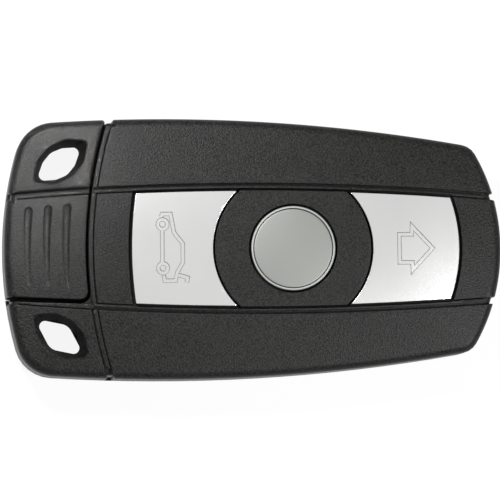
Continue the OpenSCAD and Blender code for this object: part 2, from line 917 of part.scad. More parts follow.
module battery_cover() {
    seal_r = cell_r;
    color("#383836")
    translate([cell_x, cell_y, 0])
        difference() {
            union() {
                rounded_plate(cover_length, cover_width, cover_corner_r, rear_recess, cover_top);
                rod(seal_r - 2 * seal_w, cover_top - slice, cell_z);
            }
            translate([cover_length / 2 - rib_from_edge, 0, 0]) thumb_ribs(cover_width / 3, [1, 0]);
            difference() {
                rod(seal_r, cover_top - seal_t, cover_top + through);
                rod(seal_r - seal_w - 2 * seal_fit, cover_top - seal_t - through, cover_top + 2 * through);
            }
        }
}

module cover_seal() {
    color("#1c1c1c")
    translate([cell_x, cell_y, 0])
        difference() {
            rod(cell_r - seal_fit, cover_top - seal_t, cover_top + contact_gap);
            rod(cell_r - seal_fit - seal_w, cover_top - seal_t - through, cover_top + through);
        }
}

// Shallow bowed channel with round ends, parallel to the grip's joint
module finger_groove_area(x, length) {
    r = split_cx - x;
    straight = length - finger_w;
    half_angle = asin(straight / 2 / r);
    intersection() {
        difference() {
            split_disc(r + finger_w / 2);
            split_disc(r - finger_w / 2);
        }
        translate([x_ring, -straight / 2]) square([grip_length, straight]);
    }
    for (side = [-1, 1])
        translate([split_cx - r * cos(half_angle), side * r * sin(half_angle)])
            circle(finger_w / 2, $fn = round_fn);
}

module key_grip() {
    color("#40403e")
    difference() {
        intersection() {
            pillow();
            union() {
                slab(-through, parting_z + pull_clearance + slice) grip_area(0, joint_lap);
                slab(parting_z + pull_clearance, fob_height + through) grip_area(grip_taper, 0);
            }
        }
        groove_cut();
        ring_hole(fob_height);
        ring_hole(0);
        difference() {
            slab(parting_z, fob_height + through)
                for (i = [0:finger_count - 1])
                    translate([0, finger_shift])
                        finger_groove_area(x_ring + finger_start + i * finger_pitch,
                            finger_length + i * finger_growth);
            pillow(finger_depth);
        }
        box(blade_root_x - blade_fit, window_left, blade_y - blade_fit, blade_y + blade_w + blade_fit,
            blade_z - blade_fit, blade_z + blade_t + blade_fit);
        translate([split_x - blade_root / 2, blade_y + blade_w / 2, 0])
            rod(blade_pin_r, edge_r, blade_z + blade_t + 2 * blade_pin_r);
    }
}

module key_blade() {
    color("#b9bbbd")
    difference() {
        slab(blade_z, blade_z + blade_t)
            polygon([
                [blade_root_x, blade_y],
                [blade_tip_x - blade_tip, blade_y],
                [blade_tip_x, blade_y + blade_tip],
                [blade_tip_x, blade_y + blade_w - blade_tip],
                [blade_tip_x - blade_tip, blade_y + blade_w],
                [blade_root_x, blade_y + blade_w]
            ]);
        for (z = [blade_z, blade_z + blade_t])
            translate([latch_x + latch_length, blade_y + (blade_w - track_w) / 2, z - track_depth])
                cube([blade_reach, track_w, 2 * track_depth]);
        translate([latch_x - tooth_w / 2 - latch_gap, blade_y - through, blade_z - through])
            cube([tooth_w + 2 * latch_gap, notch_depth + through, blade_t + 2 * through]);
        translate([split_x - blade_root / 2, blade_y + blade_w / 2, 0])
            rod(blade_pin_r, blade_z - through, blade_z + blade_t + through);
    }
}

module blade_pin() {
    color("#9a9c9e")
    translate([split_x - blade_root / 2, blade_y + blade_w / 2, 0])
        rod(blade_pin_r, edge_r, blade_z + blade_t + 2 * blade_pin_r);
}

module release_latch() {
    plate_top = latch_plate_z + latch_plate_t;
    x0 = latch_x - latch_length / 2;
    x1 = latch_x + latch_length / 2;
    color("#2f2f2e")
    difference() {
        union() {
            box(x0, x1, latch_y - latch_w / 2, latch_y + latch_w / 2, rear_recess, plate_top);
            box(x0 - latch_lap, x1 + latch_lap, latch_back_y, latch_y + latch_w / 2 + latch_lap,
                latch_plate_z, plate_top);
            box(latch_x - tooth_w / 2, latch_x + tooth_w / 2, latch_back_y, tooth_tip_y,
                latch_plate_z, blade_z + blade_t);
        }
        translate([latch_x, latch_y, 0]) thumb_ribs(latch_length - 2 * rib_w, [0, 1]);
    }
}

// Coil spring as one tube swept along a helix
module latch_spring() {
    steps = 12;
    sides = 6;
    rings = spring_coils * steps;
    coil_r = spring_r - spring_wire_r;
    run = spring_length - 2 * (spring_wire_r + slide_fit);
    start = [latch_x, spring_y0 + spring_wire_r + slide_fit, latch_plate_z + spring_r];
    function ring_point(i, k) =
        let (a = 360 * i / steps, b = 360 * k / sides, r = coil_r + spring_wire_r * cos(b))
            start + [r * cos(a), run * i / rings + spring_wire_r * sin(b), r * sin(a)];
    points = [for (i = [0:rings], k = [0:sides - 1]) ring_point(i, k)];
    walls = [for (i = [0:rings - 1], k = [0:sides - 1])
        let (a = i * sides + k, b = i * sides + (k + 1) % sides)
            each [[a, b, a + sides], [b, b + sides, a + sides]]];
    caps = [for (k = [1:sides - 2])
        each [[0, k + 1, k], [rings * sides, rings * sides + k, rings * sides + k + 1]]];
    color("#c0c2c4") polyhedron(points, concat(walls, caps));
}

upper_shell();
lower_shell();
centre_bezel();
trunk_button();
lock_button();
unlock_button();
badge_disc();
keypad_mat();
trunk_plunger();
unlock_plunger();
lock_plunger();
circuit_board();
switch_bodies();
trunk_switch_stem();
unlock_switch_stem();
lock_switch_stem();
controller_chip();
radio_chip();
crystal();
board_passives();
antenna_core();
antenna_winding();
coin_cell();
contact_plus();
contact_minus();
battery_cover();
cover_seal();
key_grip();
key_blade();
blade_pin();
release_latch();
latch_spring();
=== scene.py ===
import math

import bmesh
import bpy
from mathutils import Matrix, Vector


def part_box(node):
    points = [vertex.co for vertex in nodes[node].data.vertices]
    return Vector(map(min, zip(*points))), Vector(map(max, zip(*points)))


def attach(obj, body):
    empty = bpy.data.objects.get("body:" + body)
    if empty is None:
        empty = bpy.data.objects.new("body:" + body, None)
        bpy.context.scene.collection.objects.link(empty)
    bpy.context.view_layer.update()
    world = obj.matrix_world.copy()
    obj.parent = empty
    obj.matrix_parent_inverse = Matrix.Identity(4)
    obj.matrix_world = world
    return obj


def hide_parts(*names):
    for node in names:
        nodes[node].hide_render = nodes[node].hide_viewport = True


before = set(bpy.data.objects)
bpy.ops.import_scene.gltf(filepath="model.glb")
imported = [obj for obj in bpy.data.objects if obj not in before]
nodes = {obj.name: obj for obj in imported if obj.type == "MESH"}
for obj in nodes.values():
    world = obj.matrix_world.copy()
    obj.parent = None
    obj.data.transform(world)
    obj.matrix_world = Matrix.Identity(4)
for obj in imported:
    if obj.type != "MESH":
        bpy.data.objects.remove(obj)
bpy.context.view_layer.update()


# Lower shell. Injection-moulded black plastic tray with a fine eroded grain on its outer faces;
# it carries the posts, the cell well and the blade channel, and every other piece is laid into it.
mm = 0.001
black_tone = (0.009, 0.009, 0.0085, 1)
shell_edge = 0.12 * mm
seam = 0.002 * mm
flat_angle = 0.5
hard_angle = 50


class Wire:
    """One value in a material: arithmetic on it adds Math nodes, and node() adds any other node."""

    def __init__(self, tree, socket=None):
        self.tree = tree
        self.socket = socket

    def node(self, kind, settings, sockets, output=0):
        made = self.tree.nodes.new("ShaderNode" + kind)
        for key, value in settings.items():
            if key == "stops":
                for stop, (place, tone) in zip(made.color_ramp.elements, value):
                    stop.position = place
                    stop.color = tone
            else:
                setattr(made, key, value)
        for key, value in sockets.items():
            if isinstance(value, Wire):
                self.tree.links.new(value.socket, made.inputs[key])
            else:
                made.inputs[key].default_value = value
        return Wire(self.tree, made.outputs[output])

    def math(self, operation, first, second):
        return self.node("Math", {"operation": operation}, {0: first, 1: second})

    def __add__(self, other):
        return self.math("ADD", self, other)

    def __sub__(self, other):
        return self.math("SUBTRACT", self, other)

    def __rsub__(self, other):
        return self.math("SUBTRACT", other, self)

    def __mul__(self, other):
        return self.math("MULTIPLY", self, other)

    __radd__ = __add__
    __rmul__ = __mul__

    def feeds(self, shader, name):
        self.tree.links.new(self.socket, shader.inputs[name])

    def noise(self, size, detail=2.0):
        return self.node("TexNoise", {}, {"Vector": self, "Scale": 1 / size, "Detail": detail}, "Fac")

    def tones(self, dark, light):
        return self.node("Mix", {"data_type": "RGBA"}, {"Factor": self, "A": dark, "B": light}, "Result")

    def bump(self, depth, strength=1.0):
        return self.node("Bump", {}, {"Height": self, "Distance": depth, "Strength": strength})


def new_finish(name, **numbers):
    """A material with its plain numbers set, its shader, and its Object coordinates."""
    material = bpy.data.materials.new(name)
    material.use_nodes = True
    shader = material.node_tree.nodes["Principled BSDF"]
    for key, value in numbers.items():
        shader.inputs[key.replace("_", " ")].default_value = value
    return material, shader, Wire(material.node_tree).node("TexCoord", {}, {}, "Object")


def shade(tone, factor):
    """A tone made darker or lighter."""
    return (tone[0] * factor, tone[1] * factor, tone[2] * factor, 1)


def grained_plastic(name, tone, grain, roughness, gloss=0.18):
    """Moulded plastic with an eroded grain: speckled tone, uneven gloss and fine pits."""
    material, shader, place = new_finish(name, Specular_IOR_Level=gloss)
    speckle = place.noise(grain, 3.0)
    patches = place.noise(14 * grain)
    spread = 3.4 * (speckle - 0.5) + 0.35 + 0.3 * patches
    spread.tones(shade(tone, 0.1), shade(tone, 1.9)).feeds(shader, "Base Color")
    (roughness - 0.12 + 0.16 * speckle + 0.08 * patches).feeds(shader, "Roughness")
    speckle.bump(0.08 * mm, 0.8).feeds(shader, "Normal")
    return material


def soften(piece, angle=35):
    """Smooth shading that keeps hard edges hard and flat faces flat."""
    piece.data.shade_smooth()
    piece.data.set_sharp_from_angle(angle=math.radians(angle))
    even = piece.modifiers.new("even_shading", "WEIGHTED_NORMAL")
    even.keep_sharp = True


def make_piece(name, bm):
    """An object at the origin from a finished mesh, with its faces turned outwards."""
    bmesh.ops.recalc_face_normals(bm, faces=bm.faces)
    mesh = bpy.data.meshes.new(name)
    bm.to_mesh(mesh)
    bm.free()
    piece = bpy.data.objects.new(name, mesh)
    bpy.context.scene.collection.objects.link(piece)
    return piece


def copy_of(node, name, edge):
    """The CAD piece again as one joined skin, with its hard edges broken by a small round."""
    bm = bmesh.new()
    bm.from_mesh(nodes[node].data)
    bmesh.ops.remove_doubles(bm, verts=bm.verts, dist=seam)
    bmesh.ops.dissolve_limit(bm, angle_limit=math.radians(flat_angle), verts=bm.verts, edges=bm.edges)
    piece = make_piece(name, bm)
    soften(piece)
    broken = piece.modifiers.new("broken_edges", "BEVEL")
    broken.width = edge
    broken.segments = 2
    broken.limit_method = "ANGLE"
    broken.angle_limit = math.radians(hard_angle)
    piece.modifiers.move(1, 0)
    return piece


case_plastic = grained_plastic("case_plastic", black_tone, 0.26 * mm, 0.4)
bottom_case = copy_of("lower_shell", "bottom_case", shell_edge)
bottom_case.data.materials.append(case_plastic)
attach(bottom_case, "case")
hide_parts("lower_shell")


# Release latch and its spring. A smooth black plastic slide with three thumb ribs, pushed towards
# the blade's notch by a coil of steel wire that sits in a pocket of the lower shell.
latch_tone = (0.012, 0.012, 0.012, 1)
steel_tone = (0.56, 0.57, 0.58, 1)
latch_edge = 0.15 * mm
line_stretch = 0.02


def drawn_metal(name, tone, roughness, streak, axis):
    """Metal with fine drawn lines along one axis of the piece."""
    material, shader, place = new_finish(name, Metallic=1.0)
    pull = [1.0, 1.0, 1.0]
    pull[axis] = line_stretch
    lines = place.node("Mapping", {}, {"Vector": place, "Scale": pull}).noise(streak, 4.0)
    lines.tones(shade(tone, 0.8), shade(tone, 1.12)).feeds(shader, "Base Color")
    (roughness - 0.1 + 0.2 * lines).feeds(shader, "Roughness")
    lines.bump(0.01 * mm, 0.5).feeds(shader, "Normal")
    return material


latch_pad = copy_of("release_latch", "latch_pad", latch_edge)
latch_pad.data.materials.append(grained_plastic("latch_plastic", latch_tone, 0.35 * mm, 0.4))
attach(latch_pad, "latch")
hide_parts("release_latch")
spring_wire = drawn_metal("spring_wire", steel_tone, 0.3, 0.1 * mm, 1)


def dress(material, *names):
    """Gives carried-over CAD nodes their finish."""
    for name in names:
        nodes[name].data.materials.clear()
        nodes[name].data.materials.append(material)


dress(spring_wire, "latch_spring")


# Circuit board. Green solder mask over a copper pattern on a milled glass-fibre board,
# laid on four posts with their pins through its holes.
mask_tone = (0.012, 0.085, 0.04, 1)
trace_tone = (0.03, 0.16, 0.07, 1)
trace_pitch = 1.4 * mm

board_finish, board_shader, board_place = new_finish("solder_mask", Coat_Weight=0.4)
board_squares = board_place.node(
    "TexVoronoi", {"distance": "CHEBYCHEV"},
    {"Vector": board_place, "Scale": 1 / trace_pitch, "Randomness": 0.6}, "Distance")
board_traces = board_squares.node("ValToRGB", {"stops": [(0.34, (0, 0, 0, 1)), (0.38, (1, 1, 1, 1))]},
                                  {"Fac": board_squares})
board_traces.tones(mask_tone, trace_tone).feeds(board_shader, "Base Color")
(0.3 + 0.15 * board_place.noise(0.3 * mm)).feeds(board_shader, "Roughness")
board_traces.bump(0.03 * mm, 0.5).feeds(board_shader, "Normal")
dress(board_finish, "circuit_board")


# Parts on the board. Tinned switch housings and crystal can, epoxy chips, ceramic chip parts,
# and a ferrite bar wound with enamelled copper wire.
tin_tone = (0.6, 0.6, 0.57, 1)
epoxy_tone = (0.014, 0.0145, 0.016, 1)
ceramic_tone = (0.34, 0.24, 0.14, 1)
ferrite_tone = (0.04, 0.037, 0.035, 1)
copper_tone = (0.56, 0.2, 0.06, 1)
wire_pitch = 0.2 * mm
turn_scale = 0.314 / wire_pitch

dress(drawn_metal("tinned_steel", tin_tone, 0.38, 0.15 * mm, 0), "switch_bodies", "crystal")
dress(grained_plastic("chip_epoxy", epoxy_tone, 0.12 * mm, 0.55), "controller_chip", "radio_chip")
dress(grained_plastic("chip_ceramic", ceramic_tone, 0.2 * mm, 0.4), "board_passives")
dress(grained_plastic("pressed_ferrite", ferrite_tone, 0.15 * mm, 0.6), "antenna_core")

copper, copper_shader, copper_place = new_finish("wound_copper", Metallic=1.0)
turns = copper_place.node("TexWave", {"bands_direction": "X"},
                          {"Vector": copper_place, "Scale": turn_scale, "Distortion": 0.3}, "Fac")
# The darker band in each turn is painted shade between neighbouring turns.
turns.tones(shade(copper_tone, 0.35), copper_tone).feeds(copper_shader, "Base Color")
(0.42 - 0.15 * turns).feeds(copper_shader, "Roughness")
turns.bump(0.06 * mm).feeds(copper_shader, "Normal")
dress(copper, "antenna_winding")


# Coin cell and its contacts. A nickel-plated steel can with a turned face, held between a
# gold-flashed bronze leg at its side and a spring arm that presses on its upper face.
nickel_tone = (0.62, 0.63, 0.64, 1)
bronze_tone = (0.72, 0.53, 0.24, 1)
turning_scale = 1200

cell_finish, cell_shader, cell_place = new_finish("nickel_can", Metallic=1.0)
cell_low, cell_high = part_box("coin_cell")
cell_middle = (cell_low + cell_high) / 2
cell_centred = cell_place.node("Mapping", {"vector_type": "TEXTURE"},
                               {"Vector": cell_place, "Location": cell_middle})
cell_rings = cell_centred.node(
    "TexWave", {"wave_type": "RINGS", "rings_direction": "Z"},
    {"Vector": cell_centred, "Scale": turning_scale, "Distortion": 1.5, "Detail": 2.0}, "Fac")
cell_rings.tones(shade(nickel_tone, 0.86), nickel_tone).feeds(cell_shader, "Base Color")
(0.22 + 0.14 * cell_rings).feeds(cell_shader, "Roughness")
cell_rings.bump(0.008 * mm, 0.4).feeds(cell_shader, "Normal")
dress(cell_finish, "coin_cell")
dress(drawn_metal("spring_bronze", bronze_tone, 0.3, 0.12 * mm, 0), "contact_plus", "contact_minus")


# Keypad mat, plungers and switch stems. One grey silicone moulding lies over the switches,
# with a pip under each cap; the stems are small black plastic pins in the switch housings.
silicone_tone = (0.22, 0.225, 0.225, 1)
stem_tone = (0.016, 0.016, 0.016, 1)

dress(grained_plastic("silicone", silicone_tone, 0.5 * mm, 0.6),
      "keypad_mat", "trunk_plunger", "unlock_plunger", "lock_plunger")
dress(grained_plastic("stem_plastic", stem_tone, 0.2 * mm, 0.45),
      "trunk_switch_stem", "unlock_switch_stem", "lock_switch_stem")


# Upper shell. Black moulded lid with the same grain; raised panels stand on a floor that shows as
# styling grooves, the outer edges are well rounded, and it is snapped and glued to the lower shell.
x_ring = -39.0
x_slot = 39.0
half_width = 20.393
parting_z = 6.3
rim_z = 11.6
crown_rise = 1.2
edge_r = 1.4
groove_depth = 0.5
groove_sink = 0.85
groove_w = 1.0
groove_lip = 0.16
wall = 1.5
band_half = 9.2
split_x = -26.1
split_r = 66.0
split_gap = 0.45
cross_groove_w = 1.0
left_panel = 6.5
lug_edge = 8.15
lug_fall = 0.45
grip_corner_r = 1.2
straight_r = 2000.0
end_panel = 6.3
ring_corner_r = 6.0
slot_corner_r = 3.0
ridge_half = (x_slot - x_ring) / 2 - half_width
flat_share = 0.15
side_r = 275.0
side_x = -14.0
band_r = 450.0
slot_r = 30.0
ring_r = 58.0
weld = 0.001 * mm
touch = 1e-4
arc_touch = 2e-3
sharp_edge = 0.7
over_z = 20
floor_lift = 0.05
slit = 0.14
wide_slit = 0.44
bead_sink = 0.12
set_back = 0.03
bead_root = 1.1
bead_end = 1.6
ceiling_z = 11.1
rail_ceiling = rim_z - wall
flange_room = 0.8
cap_side_room = 0.27
end_trim = 0.05


def side_arc(way, inset=0.0):
    """Bowed long side of the outline, as centre and radius; way 1 is the upper side, -1 the lower."""
    return side_x, way * (half_width - side_r), side_r - inset


def slot_arc(inset=0.0):
    """Bowed slot end of the outline."""
    return x_slot - slot_r, 0.0, slot_r - inset


def ring_arc(inset=0.0):
    """Bowed ring end of the outline."""
    return x_ring + ring_r, 0.0, ring_r - inset


def split_arc(r):
    """Arc about the centre from which the joint between grip and case is struck."""
    return split_x + split_r, 0.0, r


def band_arc(way, grow=0.0):
    """Bowed edge of the middle band."""
    return 0.0, way * (band_half - band_r), band_r + grow


def edge_line(ring_y, joint_y):
    """Straight edge beside the grip from the ring end to the joint, as an arc too wide to show."""
    ring_side, joint_side = Vector((x_ring, ring_y)), Vector((split_x, joint_y))
    along = (joint_side - ring_side).normalized()
    centre = joint_side + straight_r * Vector((-along.y, along.x))
    return centre.x, centre.y, straight_r


def lug_line(inset=0.0):
    """Edge of the fixed ring-hole corner that faces the grip."""
    return edge_line(-lug_edge - inset, -lug_edge - lug_fall - inset)


def meet(first, second, near):
    """Where two circles meet, on the side of the given place."""
    ax, ay, ar = first
    bx, by, br = second
    apart = math.hypot(bx - ax, by - ay)
    along = (ar ** 2 - br ** 2 + apart ** 2) / (2 * apart)
    across = math.sqrt(max(0.0, ar ** 2 - along ** 2))
    ux, uy = (bx - ax) / apart, (by - ay) / apart
    both = [Vector((ax + ux * along - s * uy * across, ay + uy * along + s * ux * across)) for s in (1, -1)]
    return min(both, key=lambda place: (place - Vector(near)).length)


def corner_arc(first, second, r, near):
    """The round of radius r inside the corner of two outline arcs; a negative radius bends inwards."""
    cx, cy = meet((*first[:2], first[2] - r), (*second[:2], second[2] - r), near)
    return cx, cy, r


def crown(x, y):
    """How far the crowned face stands above its rim at a place on the fob."""
    ridge = max(-ridge_half, min(ridge_half, x))
    dx, dy = x - ridge, abs(y)
    a = dx ** 2 + dy ** 2
    share = 0.0
    for cx, cy, r in (side_arc(1, edge_r), slot_arc(edge_r) if dx > 0 else ring_arc(edge_r)):
        b = (ridge - cx) * dx - cy * dy
        c = (ridge - cx) ** 2 + cy ** 2 - r ** 2
        if a > 0:
            share = max(share, a / (math.sqrt(b * b - a * c) - b))
    share = max(flat_share, min(1.0, share))
    return crown_rise * (1 - share ** 2) / (1 - flat_share ** 2)


def draw_outline(bm, arcs, hints, z, pitch=0.8):
    """A closed face of arcs in order; hints lie near the places where each arc meets the next."""
    corners = [meet(arcs[i], arcs[(i + 1) % len(arcs)], hints[i]) for i in range(len(arcs))]
    last = bm.verts.new((corners[-1].x, corners[-1].y, z))
    start = last
    for (cx, cy, r), corner in zip(arcs, corners):
        turn = math.atan2(corner.y - cy, corner.x - cx) - math.atan2(last.co.y - cy, last.co.x - cx)
        turn = (turn + math.pi) % (2 * math.pi) - math.pi
        steps = max(1, round(abs(turn * r) / pitch))
        spun = bmesh.ops.spin(bm, geom=[last], cent=(cx, cy, z), axis=(0, 0, 1), angle=turn, steps=steps)
        last = next(v for v in spun["geom_last"] if isinstance(v, bmesh.types.BMVert))
    bmesh.ops.pointmerge(bm, verts=[start, last], merge_co=start.co)
    return bmesh.ops.contextual_create(bm, geom=bm.edges[:])["faces"][0]


def round_off(bm, edges, r, segments):
    """Rounds some edges of a mesh."""
    bmesh.ops.bevel(bm, geom=edges, offset=r, offset_type="OFFSET", segments=segments, profile=0.5,
                    affect="EDGES", material=-1)


def slice_at(bm, place, across):
    """Cuts every face along one plane, so that the skin can bend there."""
    bmesh.ops.bisect_plane(bm, geom=[*bm.verts, *bm.edges, *bm.faces], dist=touch,
                           plane_co=place, plane_no=across)


def block(arcs, hints, z0, z1, rounded=(), round_r=edge_r, lip=groove_lip, lift=True, cuts=2.0):
    """A block over an outline, in millimetres: outer edges rounded, other edges broken, face crowned."""
    bm = bmesh.new()
    face = draw_outline(bm, arcs, hints, z0)
    raised = bmesh.ops.extrude_face_region(bm, geom=[face])["geom"]
    top = [v for v in raised if isinstance(v, bmesh.types.BMVert)]
    bmesh.ops.translate(bm, verts=top, vec=(0, 0, z1 - z0))

    def at_height(v, z):
        return abs(v.co.z - z) < touch

    def on_arc(v, cx, cy, r):
        return abs(math.hypot(v.co.x - cx, v.co.y - cy) - abs(r)) < arc_touch

    outer = [e for e in bm.edges if any(all(at_height(v, z1) and on_arc(v, *arc) for v in e.verts)
                                        for arc in rounded)]
    if outer:
        round_off(bm, outer, round_r, 6)
    bm.normal_update()
    if lip:
        hard = [e for e in bm.edges if e.calc_face_angle(0) > sharp_edge
                and any(abs(v.co.z - z0) > touch for v in e.verts)]
        round_off(bm, hard, lip, 3)
    if lift:
        for axis in (0, 1):
            low = min(v.co[axis] for v in bm.verts)
            high = max(v.co[axis] for v in bm.verts)
            across = Vector((1 - axis, axis, 0))
            for i in range(1, math.ceil((high - low) / cuts)):
                slice_at(bm, (low + i * cuts) * across, across)
        for v in bm.verts:
            v.co.z += crown(v.co.x, v.co.y) * max(0.0, min(1.0, (v.co.z - z0) / (z1 - z0)))
    return bm


def solid(name, bm):
    """A finished piece from a mesh drawn in millimetres."""
    bmesh.ops.scale(bm, verts=bm.verts, vec=(mm, mm, mm))
    return make_piece(name, bm)


def combine(piece, operation, *others):
    """Joins other solids to a piece or cuts them out of it, and clears them away."""
    for other in others:
        step = piece.modifiers.new("combine", "BOOLEAN")
        step.operation = operation
        step.solver = "EXACT"
        step.object = other
        bpy.context.view_layer.update()
        joined = bpy.data.meshes.new_from_object(piece.evaluated_get(bpy.context.evaluated_depsgraph_get()))
        piece.modifiers.clear()
        bm = bmesh.new()
        bm.from_mesh(joined)
        bmesh.ops.remove_doubles(bm, verts=bm.verts, dist=weld)
        bmesh.ops.dissolve_degenerate(bm, edges=bm.edges, dist=weld)
        bm.to_mesh(joined)
        bm.free()
        piece.data = joined
        bpy.data.objects.remove(other)
    return piece


def outer_rounds(way, inset=0.0):
    """The two rounded outline corners on one long side."""
    side = side_arc(way, inset)
    at_slot = corner_arc(slot_arc(inset), side, slot_corner_r - inset, (33, way * 13))
    at_ring = corner_arc(ring_arc(inset), side, ring_corner_r - inset, (-33, way * 15))
    return side, at_slot, at_ring


def rail(way):
    """Long side panel from the cross groove to the slot end."""
    side, at_slot, _ = outer_rounds(way)
    inner = band_arc(way, groove_w)
    cross = split_arc(split_r - cross_groove_w)
    arcs = [inner, slot_arc(), at_slot, side, cross]
    hints = [(37, way * 9), (36, way * 14), (33, way * 17), (-22, way * 20), (-24, way * 10)]
    return block(arcs, hints, parting_z, rim_z, rounded=[slot_arc(), at_slot, side])


def cross_panel(left, right, rounded=()):
    """Fixed panel across the band, between two end arcs."""
    reach = [arc[0] + (arc[2] if arc[0] < 20 else -arc[2]) for arc in (left, right)]
    arcs = [left, band_arc(-1), right, band_arc(1)]
    hints = [(reach[0], -9), (reach[1], -9), (reach[1], 9), (reach[0], 9)]
    return block(arcs, hints, parting_z, rim_z, rounded=rounded)


def lug(way, inner_r, z0, lip=groove_lip):
    """Ring-hole corner beyond the cross groove."""
    side, _, at_ring = outer_rounds(way)
    arcs = [band_arc(way, groove_w), ring_arc(), at_ring, side, split_arc(inner_r)]
    hints = [(-38, way * 8), (-37, way * 14), (-33, way * 19), (-23, way * 20), (-25, way * 10)]
    return block(arcs, hints, z0, rim_z, rounded=[ring_arc(), at_ring, side], lip=lip)


def shell_floor():
    """Floor of the grooves: the whole lid drawn in by the groove depth."""
    upper, slot_up, _ = outer_rounds(1, groove_depth)
    lower, slot_low, ring_low = outer_rounds(-1, groove_depth)
    ends = slot_arc(groove_depth), ring_arc(groove_depth)
    face_arc = split_arc(split_gap / 2 - split_r)
    nook = corner_arc(face_arc, lug_line(), grip_corner_r + split_gap, (-27, -6))
    arcs = [face_arc, nook, lug_line(), ends[1], ring_low, lower, slot_low, ends[0], slot_up, upper]
    hints = [(-26, -6), (-28, -8), (-38, -8), (-37, -14), (-33, -19),
             (33, -17), (36, -14), (36, 14), (33, 17), (-23, 20)]
    return block(arcs, hints, parting_z + floor_lift, rim_z - groove_sink,
                 rounded=[ends[0], ends[1], *arcs[4:7], *arcs[8:]], round_r=edge_r - groove_depth, lip=0)


def bead(name, arcs, hints):
    """Flat bead that stands in a groove and leaves a slit beside a panel."""
    return solid(name, block(arcs, hints, rim_z - bead_root, rim_z - bead_sink, lip=slit / 3))


def case_beads():
    """Beads along the band grooves, across the case and along the fixed corner."""
    face_r, panel_r = split_r - split_gap / 2 - set_back, split_r - cross_groove_w + slit
    made = []
    for way in (1, -1):
        near, far = band_arc(way, slit), band_arc(way, groove_w - wide_slit)
        made.append(bead("band_bead", [near, slot_arc(bead_end), far, split_arc(face_r - slit)],
                         [(36, way * 9), (36, way * 9), (-26, way * 9), (-26, way * 9)]))
        made.append(bead("rail_bead", [split_arc(face_r), band_arc(way, groove_w), split_arc(panel_r),
                                       side_arc(way, bead_end)],
                         [(-26, way * 10), (-25, way * 10), (-24, way * 19), (-24, way * 19)]))
    made.append(bead("cross_bead", [split_arc(face_r), band_arc(-1, slit), split_arc(panel_r),
                                    band_arc(1, slit)],
                     [(-26, -9), (-25, -9), (-25, 9), (-26, 9)]))
    made.append(bead("corner_bead", [split_arc(face_r - slit), lug_line(set_back), ring_arc(bead_end),
                                     band_arc(-1, groove_w - slit)],
                     [(-26, -8), (-37, -8), (-37, -9), (-26, -9)]))
    return made


def window_block(grow, z0, z1, side=0.0):
    """Cutter for the button window in the band."""
    arcs = [split_arc(split_r - left_panel + grow), band_arc(-1, grow + side), slot_arc(end_panel - grow),
            band_arc(1, grow + side)]
    hints = [(-18, -9), (32, -9), (32, 9), (-18, 9)]
    return block(arcs, hints, z0, z1, lip=0, lift=False)


def cavity_block(z0, z1):
    """Cutter for the hollow of the lid, a wall inside its outline."""
    ring_wall = split_arc(split_r - cross_groove_w - wall)
    arcs = [ring_wall, side_arc(-1, wall), slot_arc(wall), side_arc(1, wall)]
    hints = [(-21, -19), (33, -15), (33, 15), (-21, 19)]
    return block(arcs, hints, z0, z1, lip=0, lift=False)


top_case = solid("top_case", shell_floor())
combine(top_case, "DIFFERENCE", solid("window", window_block(0, 0, over_z)))
ring_panel = cross_panel(split_arc(split_r - cross_groove_w), split_arc(split_r - left_panel))
slot_panel = cross_panel(slot_arc(end_panel), slot_arc(), rounded=[slot_arc()])
combine(top_case, "UNION", solid("rail_up", rail(1)), solid("rail_low", rail(-1)),
        solid("lug_low", lug(-1, split_r, parting_z)), solid("ring_panel", ring_panel),
        solid("slot_panel", slot_panel), *case_beads())
combine(top_case, "DIFFERENCE", solid("room", cavity_block(0, rail_ceiling)),
        solid("flange_seat", window_block(flange_room, 0, ceiling_z)),
        solid("cap_room", window_block(-end_trim, 0, over_z, cap_side_room + end_trim)))

hole_inset = 8.8
hole_x = x_ring + hole_inset
hole_y = 13.6
hole_length = 10.1
hole_width = 5.8
hole_tip_r = 0.9
hole_slant = 37.0
hole_taper = 0.8
hole_tip_pull = 1.7
hole_belly = 0.4
hole_fullness = 0.87
hole_lip = 0.15
hole_sides = 40
throat_lap = 0.01
throat_reach = 0.54
steep = 0.7


def follow_crown(bm, above):
    """Lifts what lies above a height by the crown of the face."""
    for v in bm.verts:
        if v.co.z > above:
            v.co.z += crown(v.co.x, v.co.y)


def diamond_hull(way, levels):
    """Cutter between two slanted diamonds with rounded corners, each given by height and inset."""
    bm = bmesh.new()
    for z, inset in levels:
        reach = hole_length / 2 - hole_tip_r - hole_tip_pull * inset
        half = hole_width / 2 - inset
        for share, r in ((0, half), (hole_belly, hole_fullness * half), (1, hole_tip_r)):
            for along in {share * reach, -share * reach}:
                bmesh.ops.create_circle(bm, segments=hole_sides, radius=r,
                                        matrix=Matrix.Translation((along, 0, z)))
    hull = bmesh.ops.convex_hull(bm, input=bm.verts)
    spare = {part for key in ("geom_interior", "geom_unused") for part in hull[key]}
    bmesh.ops.delete(bm, geom=[v for v in spare if isinstance(v, bmesh.types.BMVert)], context="VERTS")
    bmesh.ops.delete(bm, geom=[e for e in bm.edges if not e.link_faces], context="EDGES")
    slant = Matrix.Rotation(math.radians(hole_slant), 3, "Z")
    bmesh.ops.rotate(bm, verts=bm.verts, cent=(0, 0, 0), matrix=slant)
    bmesh.ops.translate(bm, verts=bm.verts, vec=(hole_x, hole_y, 0))
    bmesh.ops.scale(bm, verts=bm.verts, vec=(1, way, 1))
    follow_crown(bm, rim_z - 1)
    return solid("ring_hole", bm)


def ring_hole(way, z_from, z_to):
    """Cutters for a throat that widens from mid height to a face, and for its softened lip."""
    lip = math.copysign(hole_lip, z_to - z_from)
    return [diamond_hull(way, ((z_from, hole_taper), (z_to + lip, 0))),
            diamond_hull(way, ((z_to - lip, 0), (z_to + lip, -2 * hole_lip / hole_tip_pull)))]


# The darker, duller plastic on the ring-hole walls is painted shade, standing in for the dark inside the
# throats.
throat_shade_paint = grained_plastic("throat_shade_paint", shade(black_tone, 0.4), 0.26 * mm, 0.6, 0.015)


